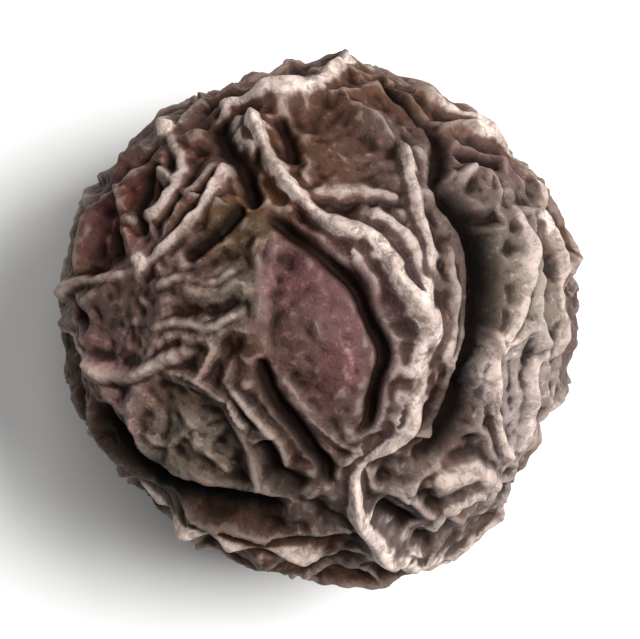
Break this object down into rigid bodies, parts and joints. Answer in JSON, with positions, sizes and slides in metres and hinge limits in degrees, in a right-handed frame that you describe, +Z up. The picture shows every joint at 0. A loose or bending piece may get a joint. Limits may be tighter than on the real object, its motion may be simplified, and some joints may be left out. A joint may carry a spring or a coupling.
{
  "type": "black peppercorn",
  "caption": "Dried black peppercorn, a nearly round wrinkled berry with a raised net of crests round sunken cells, resting on a small flat spot.",
  "frame": {"origin": "on the surface that the corn rests on, under the middle of its box, in the flat spot", "axes": "+Z up, out of the side seen in the picture; +Y towards the picture's top, +X towards its right"},
  "size_m": [0.0052, 0.0054, 0.0048],
  "materials": {
    "dried_skin": "matt, faintly waxy dried skin, near black in the folds, dark brown on the floors, greyer and paler on the crests"
  },
  "bodies": {
    "root": {"peppercorn": "dried_skin"}
  },
  "joints": []
}
